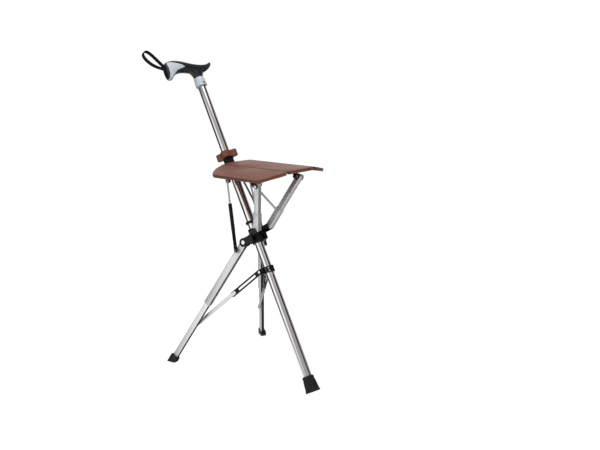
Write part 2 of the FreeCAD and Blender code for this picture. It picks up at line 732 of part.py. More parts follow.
def brace_frame(side):
    """Frame of a brace: Z from the ring to the leg's rivet, Y outward."""
    outward = mirrored(LEG_OUTWARD, side)
    pivot = ring_pivot(side)
    target = leg_frame(side).multVec(Vector(0, 0, size("bracePivotAlong"))) - outward * size("linkOffset")
    axis = target - pivot
    return frame(pivot, outward.cross(axis), axis), axis.Length


def flat_bar(length, wide, thick, extra=0):
    """Flat bar with round ends, from its first pivot to its second."""
    return joined(cross_rod(wide / 2, thick, 0, extra, 0), cross_rod(wide / 2, thick, 0, extra, length),
                  block(wide, thick, length, 0, extra, 0))


def make_brace(name, side):
    """Slotted link on the ring and the flat bar that slides along it, with the bar's rivet."""
    place, length = brace_frame(side)
    link = flat_bar("linkLength", 9, "linkThick")
    slot = joined(cross_rod(2.4, 10, 0, 0, 16), cross_rod(2.4, 10, 0, 0, "linkLength - 24"),
                  block(4.8, 10, "linkLength - 40", 0, 0, 16))
    done("brace_link_" + name, cut(link, slot, cross_rod(1.85, 20), cross_rod(2.4, 10, 0, 0, "linkLength")), place)
    middle = "linkThick / 2 + 1.1"
    start = "linkLength - 8"
    bar = joined(cross_rod(4.6, 1.8, 0, middle, start), cross_rod(4.6, 1.8, 0, middle, length),
                 block(9.2, 1.8, "%s - (%s)" % (length, start), 0, middle, start))
    done("brace_bar_" + name, cut(bar, cross_rod(1.7, 20, 0, 0, length)), place)
    rivet = joined(cross_rod(1.7, 1.8, 0, middle, length), cross_rod(3.6, 1.1, 0, "linkThick / 2 - 0.35", length),
                   cross_rod(3.4, 0.8, 0, "linkThick / 2 + 2.4", length))
    done("brace_rivet_" + name, rivet, place)


def strut_frame(side):
    """Frame of a strut: Z from the runner's hook to the lower leg, Y outward."""
    top = on_stick(size("hookForward"), side * (size("cheekInner") + size("cheekThick") + 2.6), size("hookHeight"))
    outward = mirrored(LEG_OUTWARD, side)
    end = leg_frame(side).multVec(Vector(0, 0, size("strutPinAlong"))) + outward * size("strutOffset")
    axis = end - top
    return frame(top, (ACROSS * side).cross(axis), axis), axis.Length


def make_strut(name, side):
    """Rod on the runner's hook, the sleeve that slides on it and the sleeve's slotted end."""
    place, length = strut_frame(side)
    turn = Rotation(place.Rotation.multVec(Vector(0, 1, 0)), ACROSS * side)
    eye_place = Placement(place.Base, turn.multiply(place.Rotation))
    eye = carried(eye_place, cross_rod(5.4, 3.2))
    shaft = carried(place, rod(2.4, "strutSleeveAlong + 17 - 3", z=3))
    hole = carried(eye_place, cross_rod("pinRadius + 0.25", 20))
    done("strut_rod_" + name, cut(joined(eye, shaft), hole))
    sleeve = cut(rod(4.0, "strutSleeveLength", z="strutSleeveAlong"),
                 rod(2.5, "strutSleeveLength - 8", z="strutSleeveAlong - 1"))
    done("strut_sleeve_" + name, sleeve, place)
    start = size("strutSleeveAlong") + size("strutSleeveLength")
    tail = joined(block(8.6, 3.6, length - start - 4, 0, 0, start), cross_rod(4.3, 3.6, 0, 0, length - 4.5))
    slot = block(3.6, 10, length - start - 17, 0, 0, start + 6)
    done("strut_slot_" + name, cut(tail, slot, cross_rod(2.2, 10, 0, 0, length - 4.5)), place)
    rivet = joined(cross_rod(2.2, 6.4, 0, -1.4, length - 4.5), cross_rod(3.8, 1.2, 0, 2.4, length - 4.5))
    done("strut_rivet_" + name, rivet, place)


def stay_frame(side):
    """Frame of a stay: Z from the runner's lug to the rivet on the upper leg."""
    top = on_stick(size("stayForward"), side * 3.1, size("stayHeight"))
    outward = mirrored(UPPER_OUTWARD, side)
    end = upper_frame(side).multVec(Vector(0, 0, UPPER_LENGTH - size("upperSleeveLength") + 6))
    end = end - outward * (size("upperSleeveThick") / 2 + 2.9)
    axis = end - top
    return frame(top, (ACROSS * side).cross(axis), axis), axis.Length


def make_stay(name, side):
    """Flat bar from the runner's lug to the upper leg."""
    place, length = stay_frame(side)
    bar = flat_bar(length, 6.0, 1.8)
    done("stay_" + name, cut(bar, cross_rod("stayPinRadius + 0.35", 20)), place)


make_pole()
make_rubber_foot()
make_handle()
make_strap()
make_stop_button()
make_runner()
make_centre_panel()
for NAME, SIDE in SIDES.items():
    make_side_panel(NAME, SIDE)
    make_bracket(NAME, SIDE)
    make_upper_leg(NAME, SIDE)
make_hub()
for NAME, SIDE in SIDES.items():
    make_lower_leg(NAME, SIDE)
make_ring()
for NAME, SIDE in SIDES.items():
    make_brace(NAME, SIDE)
    make_strut(NAME, SIDE)
    make_stay(NAME, SIDE)

doc.recompute()


def report_and_export():
    """Check every object, then write one STEP file per sub-part."""
    for thing in doc.Objects:
        if "Invalid" in thing.State or "Error" in thing.State:
            raise RuntimeError("%s failed: %s" % (thing.Name, thing.State))
    os.makedirs("parts", exist_ok=True)
    bounds = FreeCAD.BoundBox()
    for thing in PARTS:
        shape = thing.Shape
        if shape.isNull() or not shape.isValid():
            raise RuntimeError("%s has no valid shape" % thing.Label)
        bounds.add(shape.BoundBox)
    for thing in PARTS:
        thing.Shape.exportStep("parts/%s.step" % thing.Label)
    print(len(PARTS), "sub-parts, box", bounds)


report_and_export()
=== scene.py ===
"""Dresses the walking stick seat: a finish for every piece, and new meshes for most of them."""
from __future__ import annotations

import json
import logging
import math
from dataclasses import dataclass, field
from enum import Enum
from typing import Callable, Sequence

import bmesh
import bpy
from mathutils import Matrix, Vector


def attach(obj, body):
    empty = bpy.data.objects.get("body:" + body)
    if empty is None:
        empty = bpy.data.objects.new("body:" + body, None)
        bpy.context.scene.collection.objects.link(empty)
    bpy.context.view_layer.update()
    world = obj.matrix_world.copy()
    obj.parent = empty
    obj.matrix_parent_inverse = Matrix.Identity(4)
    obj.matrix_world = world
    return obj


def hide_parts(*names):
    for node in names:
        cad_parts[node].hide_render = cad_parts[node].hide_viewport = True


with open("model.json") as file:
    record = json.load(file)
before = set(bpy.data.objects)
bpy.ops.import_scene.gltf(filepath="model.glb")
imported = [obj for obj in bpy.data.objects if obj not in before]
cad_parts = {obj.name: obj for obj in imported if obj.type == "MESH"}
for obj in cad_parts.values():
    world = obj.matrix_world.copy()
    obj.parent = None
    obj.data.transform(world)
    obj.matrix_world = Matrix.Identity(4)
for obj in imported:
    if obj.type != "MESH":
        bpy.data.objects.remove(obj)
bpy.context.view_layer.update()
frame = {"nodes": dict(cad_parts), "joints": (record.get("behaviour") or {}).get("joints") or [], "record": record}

Piece = bpy.types.Object
Material = bpy.types.Material
Triple = tuple[float, float, float]
Panel = tuple[float, float, float, float, float]

log = logging.getLogger("stick_seat")
MM = 0.001
JOINTS = {joint["name"]: joint for joint in frame["joints"]}


# Frames read from the joints

class Frame:
    """An origin and three axes in which a sub-assembly is laid out."""

    def __init__(self, origin: Vector, x_axis: Vector, y_axis: Vector, z_axis: Vector) -> None:
        """Keep the axes as a matrix.

        Args:
            origin: Where the frame stands, in metres.
            x_axis: First axis.
            y_axis: Second axis.
            z_axis: Third axis.
        """
        turn = Matrix((x_axis, y_axis, z_axis)).transposed().to_4x4()
        self.matrix = Matrix.Translation(origin) @ turn

    def point(self, x: float, y: float, z: float) -> Vector:
        """World point from local millimetres."""
        return self.matrix @ Vector((x * MM, y * MM, z * MM))

    def direction(self, x: float, y: float, z: float) -> Vector:
        """World direction from local components."""
        return (self.matrix.to_3x3() @ Vector((x, y, z))).normalized()

    def shifted(self, x: float, y: float, z: float) -> Frame:
        """Same axes at another local point, given in millimetres."""
        axes = self.matrix.to_3x3()
        return Frame(self.point(x, y, z), axes.col[0], axes.col[1], axes.col[2])


def axis_of(joint: str) -> Vector:
    """Unit axis of a joint."""
    return Vector(JOINTS[joint]["axis"]).normalized()


def stick_frame() -> Frame:
    """Frame of the stick: Z up its axis, X towards the seat, origin at its foot."""
    up = axis_of("runner_slide")
    across = Vector((0.0, 1.0, 0.0))
    forward = across.cross(up)
    hinge = Vector(JOINTS["seat_fold"]["pos_m"])
    foot = hinge - forward * StickSizes.hinge_forward * MM - up * StickSizes.hinge_height * MM
    return Frame(foot, forward, across, up)


@dataclass(frozen=True)
class StickSizes:
    """Driving sizes of the stick, in millimetres."""

    hinge_forward: float = 36.0
    hinge_height: float = 574.5
    radius: float = 11.0
    collar_start: float = 826.0
    knob_middle: float = 631.0


STICK = stick_frame()


# Shader maths

class Wire:
    """A shader socket whose arithmetic adds Math nodes."""

    def __init__(self, shop: Graph, socket: bpy.types.NodeSocket) -> None:
        """Wrap a socket of a graph."""
        self.shop = shop
        self.socket = socket

    @staticmethod
    def of(shop: Graph, value: float) -> Wire:
        """Number as a socket."""
        made = shop.nodes.new("ShaderNodeValue")
        made.outputs[0].default_value = value
        return Wire(shop, made.outputs[0])

    def _math(self, operation: str, first: object, second: object = None) -> Wire:
        """Add one Math node.

        Args:
            operation: Name of the Math operation.
            first: Wire or number.
            second: Wire, number or None.

        Returns:
            The node's result.
        """
        values = {0: first} if second is None else {0: first, 1: second}
        return self.shop.node("ShaderNodeMath", {"operation": operation}, values)

    def __add__(self, other: object) -> Wire:
        """Sum."""
        return self._math("ADD", self, other)

    def __mul__(self, other: object) -> Wire:
        """Product."""
        return self._math("MULTIPLY", self, other)

    def __sub__(self, other: object) -> Wire:
        """Difference."""
        return self._math("SUBTRACT", self, other)

    def __rsub__(self, other: object) -> Wire:
        """Difference from a number."""
        return self._math("SUBTRACT", other, self)

    def __lt__(self, other: object) -> Wire:
        """One where this is less, else zero."""
        return self._math("LESS_THAN", self, other)

    def wave(self) -> Wire:
        """Sine."""
        return self._math("SINE", self)

    def size(self) -> Wire:
        """Absolute value."""
        return self._math("ABSOLUTE", self)

    def clipped(self) -> Wire:
        """Value held between zero and one."""
        return self._math("MAXIMUM", self._math("MINIMUM", self, 1.0), 0.0)

    def smooth(self, low: float, high: float) -> Wire:
        """Ramp from zero at low to one at high, eased at both ends."""
        settings = {"interpolation_type": "SMOOTHSTEP"}
        return self.shop.node("ShaderNodeMapRange", settings, {0: self, 1: low, 2: high})


class Graph:
    """A node tree that is filled by calls."""

    def __init__(self, tree: bpy.types.NodeTree) -> None:
        """Keep a tree and empty it."""
        self.nodes = tree.nodes
        self.links = tree.links
        self.nodes.clear()

    def node(self, kind: str, settings: dict[str, object], values: dict[object, object],
             out: object = 0) -> Wire:
        """Add any node.

        Args:
            kind: The node's type.
            settings: Properties set before its sockets.
            values: Socket names or numbers with their value or Wire.
            out: Output wanted.

        Returns:
            The chosen output.
        """
        made = self.nodes.new(kind)
        for name, value in settings.items():
            setattr(made, name, value)
        for name, value in values.items():
            if isinstance(value, Wire):
                self.links.new(value.socket, made.inputs[name])
            else:
                made.inputs[name].default_value = value
        return Wire(self, made.outputs[out])

    def place(self) -> Wire:
        """Object coordinates."""
        return self.node("ShaderNodeTexCoord", {}, {}, "Object")

    def local(self, where: Frame) -> Wire:
        """Object coordinates in a frame, in millimetres."""
        inverse = where.matrix.inverted()
        return self.node("ShaderNodeMapping", {"vector_type": "POINT"}, {
            "Vector": self.place(), "Location": inverse.to_translation() / MM,
            "Rotation": inverse.to_euler(), "Scale": (1 / MM, 1 / MM, 1 / MM)})

    def parts(self, vector: Wire) -> tuple[Wire, Wire, Wire]:
        """Components of a vector."""
        split = self.nodes.new("ShaderNodeSeparateXYZ")
        self.links.new(vector.socket, split.inputs[0])
        return tuple(Wire(self, output) for output in split.outputs)

    def noise(self, scale: float, detail: float, roughness: float,
              where: Wire | None = None) -> Wire:
        """Noise from zero to one."""
        return self.node("ShaderNodeTexNoise", {}, {
            "Vector": where or self.place(), "Scale": scale, "Detail": detail,
            "Roughness": roughness})

    def cell_edges(self, scale: float) -> Wire:
        """Distance to the edges of a cell pattern."""
        return self.node("ShaderNodeTexVoronoi", {"feature": "DISTANCE_TO_EDGE"},
                         {"Vector": self.place(), "Scale": scale}, "Distance")

    def towards(self, vector: Wire, aim: Vector) -> Wire:
        """Cosine between a unit vector and a fixed direction."""
        return self.node("ShaderNodeVectorMath", {"operation": "DOT_PRODUCT"},
                         {0: vector, 1: aim}, "Value")

    def mix(self, factor: object, first: object, second: object) -> Wire:
        """Blend two colours."""
        values = {index: value if isinstance(value, Wire) else (*value, 1.0)
                  for index, value in ((6, first), (7, second))}
        return self.node("ShaderNodeMix", {"data_type": "RGBA"}, {0: factor, **values}, 2)

    def join(self, output: Wire, kind: str, socket: object = 0) -> None:
        """Link a result to a new output node of the kind."""
        self.links.new(output.socket, self.nodes.new(kind).inputs[socket])


class Shader(Graph):
    """One material's node tree, filled by a finish."""

    def __init__(self, name: str) -> None:
        """Start a material that holds only a Principled shader and its output."""
        self.material = bpy.data.materials.new(name)
        self.material.use_nodes = True
        super().__init__(self.material.node_tree)
        self.body = self.nodes.new("ShaderNodeBsdfPrincipled")
        self.links.new(self.body.outputs[0], self.nodes.new("ShaderNodeOutputMaterial").inputs[0])

    def bump(self, height: Wire, strength: float, distance: float) -> None:
        """Feed a height into the shader's normal."""
        bumped = self.node("ShaderNodeBump", {}, {"Height": height, "Strength": strength,
                                                  "Distance": distance})
        self.links.new(bumped.socket, self.body.inputs["Normal"])

    def feed(self, **values: object) -> None:
        """Set or link sockets of the Principled shader; an underscore stands for a space."""
        for name, value in values.items():
            socket = self.body.inputs[name.replace("_", " ")]
            if isinstance(value, Wire):
                self.links.new(value.socket, socket)
            elif isinstance(value, tuple) and len(value) == 3:
                socket.default_value = (*value, 1.0)
            else:
                socket.default_value = value


# Finishes

@dataclass(frozen=True)
class BrightTube:
    """Polished drawn aluminium with fine draw lines along the tube, faint handling marks, and optional painted
    shade in keyways and on one side.
    """

    name: str = "bright_tube"
    colour: Triple = (0.84, 0.81, 0.80)
    roughness: float = 0.12
    metallic: float = 1.0
    # keyways: paint shade into the stick's keyway grooves.
    keyways: bool = False
    # shaded: faces turned towards this direction get painted shade.
    shaded: Vector | None = None
    along: Vector = field(default_factory=lambda: Vector((0.0, 0.0, 1.0)))
    line_pitch: float = 900.0
    cloud_pitch: float = 38.0
    mark_pitch: float = 420.0
    keyway_edge: tuple[float, float] = (1.9, 2.5)
    facing_edge: tuple[float, float] = (0.75, 0.95)
    dulled: float = 0.90
    # Dark colour of the painted shade, in the keyways and on the shaded side.
    painted_shade_tone: Triple = (0.05, 0.046, 0.045)

    def make(self) -> Material:
        """Build the material."""
        shader = Shader(self.name)
        across = self.along.orthogonal().normalized()
        turn = Matrix((across, self.along.cross(across), self.along)).to_euler()
        stretched = shader.node("ShaderNodeMapping", {"vector_type": "POINT"}, {
            "Vector": shader.place(), "Rotation": turn, "Scale": (1.0, 1.0, 0.012)})
        lines = shader.noise(self.line_pitch, 2.0, 0.6, stretched)
        clouds = shader.noise(self.cloud_pitch, 4.0, 0.6)
        marks = shader.noise(self.mark_pitch, 2.0, 0.5).smooth(0.62, 0.78)
        dull = tuple(self.dulled * channel for channel in self.colour)
        tone = shader.mix(lines * 0.5 + clouds * 0.3, dull, self.colour)
        # Painted shade: the keyway grooves are darkened as if in shadow.
        if self.keyways:
            _, across_way, _ = shader.parts(shader.local(STICK))
            keyway_shade = 1 - across_way.size().smooth(*self.keyway_edge)
            tone = shader.mix(keyway_shade * 0.85, tone, self.painted_shade_tone)
        # Painted shade: faces turned towards the shaded direction are darkened.
        if self.shaded is not None:
            normal = shader.node("ShaderNodeTexCoord", {}, {}, "Normal")
            facing = shader.towards(normal, self.shaded)
            tone = shader.mix(facing.smooth(*self.facing_edge) * 0.96, tone, self.painted_shade_tone)
        rough = lines * 0.10 + clouds * 0.06 + marks * 0.05 + (self.roughness - 0.08)
        shader.feed(Base_Color=tone, Metallic=self.metallic, Roughness=rough.clipped())
        shader.bump(lines, 0.05, 0.0004)
        return shader.material


@dataclass(frozen=True)
class PlatedSteel:
    """Zinc-plated pressed steel: a fine even grain with duller clouds."""

    name: str = "plated_steel"
    colour: Triple = (0.72, 0.71, 0.70)
    roughness: float = 0.30
    dulled: float = 0.86
    cloud_pitch: float = 70.0
    grain_pitch: float = 1600.0

    def make(self) -> Material:
        """Build the material."""
        shader = Shader(self.name)
        clouds = shader.noise(self.cloud_pitch, 5.0, 0.6)
        grain = shader.noise(self.grain_pitch, 2.0, 0.5)
        dull = tuple(self.dulled * channel for channel in self.colour)
        tone = shader.mix(clouds, dull, self.colour)
        rough = clouds * 0.14 + grain * 0.06 + (self.roughness - 0.1)
        shader.feed(Base_Color=tone, Metallic=1.0, Roughness=rough)
        shader.bump(grain, 0.08, 0.0003)
        return shader.material


@dataclass(frozen=True)
class Moulded:
    """Moulded plastic or rubber: fine spark-eroded texture, soft mottling and rubbed high spots."""

    name: str
    colour: Triple
    rubbed: Triple
    roughness: float = 0.45
    grain: float = 1400.0
    depth: float = 0.18
    gloss: float = 0.5
    mottle_pitch: float = 90.0

    def make(self) -> Material:
        """Build the material."""
        shader = Shader(self.name)
        grain = shader.noise(self.grain, 3.0, 0.55)
        mottle = shader.noise(self.mottle_pitch, 4.0, 0.6).smooth(0.35, 0.75)
        tone = shader.mix(mottle * 0.35 + grain * 0.2, self.colour, self.rubbed)
        rough = grain * 0.16 + mottle * 0.08 + (self.roughness - 0.12)
        shader.feed(Base_Color=tone, Specular_IOR_Level=self.gloss, Roughness=rough.clipped())
        shader.bump(grain, self.depth, 0.0004)
        return shader.material


@dataclass(frozen=True)
class GrainedPanel:
    """Brown moulded seat plastic with a leather grain of small cells, a soft sheen, and painted shade along the
    hinge seams between panels.
    """

    name: str = "grained_panel"
    colour: Triple = (0.125, 0.040, 0.024)
    lit: Triple = (0.190, 0.068, 0.041)
    cell_pitch: float = 620.0
    warp_pitch: float = 220.0
    fine_pitch: float = 2400.0
    mottle_pitch: float = 24.0
    seams: tuple[str, ...] = ("side_fold_left", "side_fold_right")
    # Colour of the painted shade along the seams, and its reach in millimetres.
    seam_shade: Triple = (0.010, 0.004, 0.003)
    seam_reach: float = 3.3

    def make(self) -> Material:
        """Build the material."""
        shader = Shader(self.name)
        warp = shader.noise(self.warp_pitch, 3.0, 0.6)
        creases = shader.cell_edges(self.cell_pitch).smooth(0.0, 0.16)
        fine = shader.noise(self.fine_pitch, 2.0, 0.5)
        mottle = shader.noise(self.mottle_pitch, 5.0, 0.65)
        tone = shader.mix(creases * 0.45 + mottle * 0.4 + warp * 0.15, self.colour, self.lit)
        # Painted shade: a thin dark line along each hinge seam, where the gap between the panels lies in shadow.
        for joint in self.seams:
            axis = axis_of(joint)
            side = axis.orthogonal().normalized()
            line = Frame(Vector(JOINTS[joint]["pos_m"]), axis, side, axis.cross(side))
            _, across, high = shader.parts(shader.local(line))
            near = (across * across + high * high) < self.seam_reach ** 2
            tone = shader.mix(near, tone, self.seam_shade)
        rough = mottle * 0.10 + (0.47 - creases * 0.10)
        shader.feed(Base_Color=tone, Specular_IOR_Level=0.4, Roughness=rough.clipped())
        shader.bump(creases * 0.8 + fine * 0.2 + warp * 0.4, 0.30, 0.0004)
        return shader.material


@dataclass(frozen=True)
class Webbing:
    """Black woven nylon webbing with a twill rib along the strap."""

    name: str = "black_webbing"
    colour: Triple = (0.003, 0.003, 0.003)
    lit: Triple = (0.014, 0.014, 0.015)
    rib_rate: float = 1900.0
    weft_rates: tuple[float, float] = (60.0, 950.0)

    def make(self) -> Material:
        """Build the material from the strap's own UV map."""
        shader = Shader(self.name)
        uv = shader.node("ShaderNodeTexCoord", {}, {}, "UV")
        along, across, _ = shader.parts(uv)
        ribs = (along * self.rib_rate).wave().size()
        cross = (across * self.weft_rates[0] + along * self.weft_rates[1]).wave().size()
        weave = ribs * 0.6 + cross * 0.4
        tone = shader.mix(weave, self.colour, self.lit)
        shader.feed(Base_Color=tone, Roughness=0.85, Specular_IOR_Level=0.2)
        shader.bump(weave, 0.5, 0.0005)
        return shader.material


# Modelling with operators

def deselect() -> None:
    """Leave edit mode's leftovers behind and select nothing."""
    if bpy.context.object and bpy.context.object.mode != "OBJECT":
        bpy.ops.object.mode_set(mode="OBJECT")
    bpy.ops.object.select_all(action="DESELECT")


def activate(piece: Piece) -> None:
    """Make one piece the only selected and active object."""
    deselect()
    piece.select_set(True)
    bpy.context.view_layer.objects.active = piece


def added(name: str, data: bpy.types.ID) -> Piece:
    """Object of the scene made of its data."""
    made = bpy.data.objects.new(name, data)
    bpy.context.scene.collection.objects.link(made)
    return made


def push(step: Sequence[float]) -> None:
    """Extrude what is selected in edit mode by a step in metres."""
    bpy.ops.mesh.extrude_region_move(TRANSFORM_OT_translate={"value": step})


def apply_modifier(piece: Piece, kind: str, **settings: object) -> None:
    """Add a modifier and apply it.

    Args:
        piece: The mesh to change.
        kind: The modifier's type.
        settings: Properties of the modifier.
    """
    activate(piece)
    modifier = piece.modifiers.new(kind.lower(), kind)
    for name, value in settings.items():
        setattr(modifier, name, value)
    bpy.ops.object.modifier_apply(modifier=modifier.name)


def carve(piece: Piece, tool: Piece, operation: str) -> None:
    """Join, cut or trim a piece with a tool, which is used up.

    Args:
        piece: The mesh to change.
        tool: The other mesh object.
        operation: UNION, DIFFERENCE or INTERSECT.
    """
    apply_modifier(piece, "BOOLEAN", operation=operation, solver="EXACT", object=tool)
    bpy.data.objects.remove(tool)


def settle(piece: Piece, where: Frame) -> Piece:
    """Put a finished piece's place into its mesh, so that it stands at the origin.

    Args:
        piece: The mesh object.
        where: Frame in which it was modelled.

    Returns:
        The same piece.
    """
    activate(piece)
    piece.matrix_world = where.matrix @ piece.matrix_world
    bpy.ops.object.transform_apply(location=True, rotation=True, scale=True)
    return piece


def block(size: Vector, place: Vector, turn: float, where: Frame) -> Piece:
    """Block in a frame, used as a tool.

    Args:
        size: Its sides in millimetres.
        place: Its middle in millimetres.
        turn: Degrees that it and its place are swung about the frame's third axis.
        where: Frame in which it stands.

    Returns:
        The mesh object.
    """
    deselect()
    bpy.ops.mesh.primitive_cube_add(size=1.0)
    made = bpy.context.object
    swing = Matrix.Rotation(math.radians(turn), 3, "Z")
    made.scale = size * MM
    made.rotation_euler = swing.to_euler()
    made.location = swing @ place * MM
    return settle(made, where)


def smoothed(piece: Piece, angle: float = 35.0) -> Piece:
    """Shade a piece smooth up to an angle in degrees."""
    activate(piece)
    bpy.ops.object.shade_smooth_by_angle(angle=math.radians(angle))
    return piece


def pick_faces(piece: Piece, wanted: Callable[[bmesh.types.BMFace], bool]) -> None:
    """Select the faces in edit mode that pass a test, and no others.

    Args:
        piece: The mesh object, in edit mode.
        wanted: Test on a face.
    """
    mesh = bmesh.from_edit_mesh(piece.data)
    for vertex in mesh.verts:
        vertex.select = False
    mesh.select_flush(False)
    for face in mesh.faces:
        face.select_set(wanted(face))
    bmesh.update_edit_mesh(piece.data)


def grown(name: str, sides: int, centres: Sequence[Sequence[float]],
          spot: Callable[[int, int, Vector], Vector], turn: float = 0.0,
          top: Callable[[], None] = lambda: None) -> Piece:
    """Grow a closed form ring by ring.

    Args:
        name: Name of the piece.
        sides: Corners of a ring.
        centres: Centre of each ring, in millimetres.
        spot: New place of a corner, in metres, by its ring, its rank and its present place.
        turn: The rings' turn about X, in radians.
        top: Work in edit mode on the last ring's face, which is selected.

    Returns:
        The mesh object.
    """
    deselect()
    steps = [Vector(centre) * MM for centre in centres]
    bpy.ops.mesh.primitive_circle_add(vertices=sides, radius=1.0, fill_type="NGON",
                                      location=steps[0], rotation=(turn, 0.0, 0.0))
    piece = bpy.context.object
    piece.name = name
    bpy.ops.object.transform_apply(location=True, rotation=True, scale=True)
    bpy.ops.object.mode_set(mode="EDIT")
    bpy.ops.mesh.select_all(action="SELECT")
    for index, centre in enumerate(steps):
        if index:
            push(centre - steps[index - 1])
        mesh = bmesh.from_edit_mesh(piece.data)
        ring = sorted((vertex for vertex in mesh.verts if vertex.select), key=lambda v: v.index)
        for rank, vertex in enumerate(ring):
            vertex.co = spot(index, rank, vertex.co)
        bmesh.update_edit_mesh(piece.data)
    top()
    bpy.ops.mesh.select_all(action="SELECT")
    bpy.ops.mesh.normals_make_consistent(inside=False)
    bpy.ops.object.mode_set(mode="OBJECT")
    return piece


def mark_edges(piece: Piece, angle: float, weight: Callable[[Vector], float]) -> None:
    """Give every sharp edge its share of the bevel's width.

    Args:
        piece: The mesh object.
        angle: Least angle of a sharp edge, in degrees.
        weight: Share of the width at a place.
    """
    mesh = bmesh.new()
    mesh.from_mesh(piece.data)
    layers = mesh.edges.layers.float
    layer = layers.get("bevel_weight_edge") or layers.new("bevel_weight_edge")
    for edge in mesh.edges:
        if len(edge.link_faces) == 2 and edge.calc_face_angle(0.0) > math.radians(angle):
            edge[layer] = weight((edge.verts[0].co + edge.verts[1].co) / 2)
    mesh.to_mesh(piece.data)
    mesh.free()


def smooth_line(points: Sequence[Vector], steps: int = 10) -> list[Vector]:
    """Points along the NURBS line of a route.

    Args:
        points: The route's control points, in metres.
        steps: Points per control point.

    Returns:
        Points in order from end to end.
    """
    curve = bpy.data.curves.new("route", "CURVE")
    curve.dimensions = "3D"
    spline = curve.splines.new("NURBS")
    spline.points.add(len(points) - 1)
    for control, point in zip(spline.points, points):
        control.co = (*point, 1.0)
    spline.order_u = 3
    spline.use_endpoint_u = True
    spline.resolution_u = steps
    holder = added("route", curve)
    mesh = bpy.data.meshes.new_from_object(holder)
    line = [vertex.co.copy() for vertex in mesh.vertices]
    bpy.data.objects.remove(holder)
    bpy.data.meshes.remove(mesh)
    return line


BAND_EDGE = ((1.0, 0.0), (0.96, 0.7), (0.85, 1.0), (0.4, 0.94), (0.0, 0.9), (-0.4, 0.94),
             (-0.85, 1.0), (-0.96, 0.7))


def flat_band(name: str, line: Sequence[Vector], side: Vector, wide: float,
              thick: float) -> Piece:
    """Flat strap with rounded edges along a plane line; its UV map's U is metres along it.

    Args:
        name: Name of the piece.
        line: Points that its middle follows.
        side: Direction of its width.
        wide: Width in metres.
        thick: Thickness in metres.

    Returns:
        The closed mesh object.
    """
    half, deep = wide / 2, thick / 2
    upper = [(-half * u, deep * v) for u, v in BAND_EDGE]
    section = upper + [(-u, -v) for u, v in upper]
    mesh = bmesh.new()
    layer = mesh.loops.layers.uv.new("UVMap")
    rings, runs, run = [], [], 0.0
    for index, point in enumerate(line):
        before, after = line[max(index - 1, 0)], line[min(index + 1, len(line) - 1)]
        run += (point - before).length
        normal = (after - before).normalized().cross(side).normalized()
        rings.append([mesh.verts.new(point + side * u + normal * v) for u, v in section])
        runs.append(run)
    count = len(section)
    for index in range(len(rings) - 1):
        for corner in range(count):
            following = (corner + 1) % count
            face = mesh.faces.new((rings[index][corner], rings[index][following],
                                   rings[index + 1][following], rings[index + 1][corner]))
            spots = ((runs[index], corner), (runs[index], corner + 1),
                     (runs[index + 1], corner + 1), (runs[index + 1], corner))
            for loop, (along, place) in zip(face.loops, spots):
                loop[layer].uv = (along, place / count)
    mesh.faces.new(reversed(rings[0]))
    mesh.faces.new(rings[-1])
    bmesh.ops.recalc_face_normals(mesh, faces=mesh.faces)
    data = bpy.data.meshes.new(name)
    mesh.to_mesh(data)
    mesh.free()
    return added(name, data)


# Camera, lights and floor

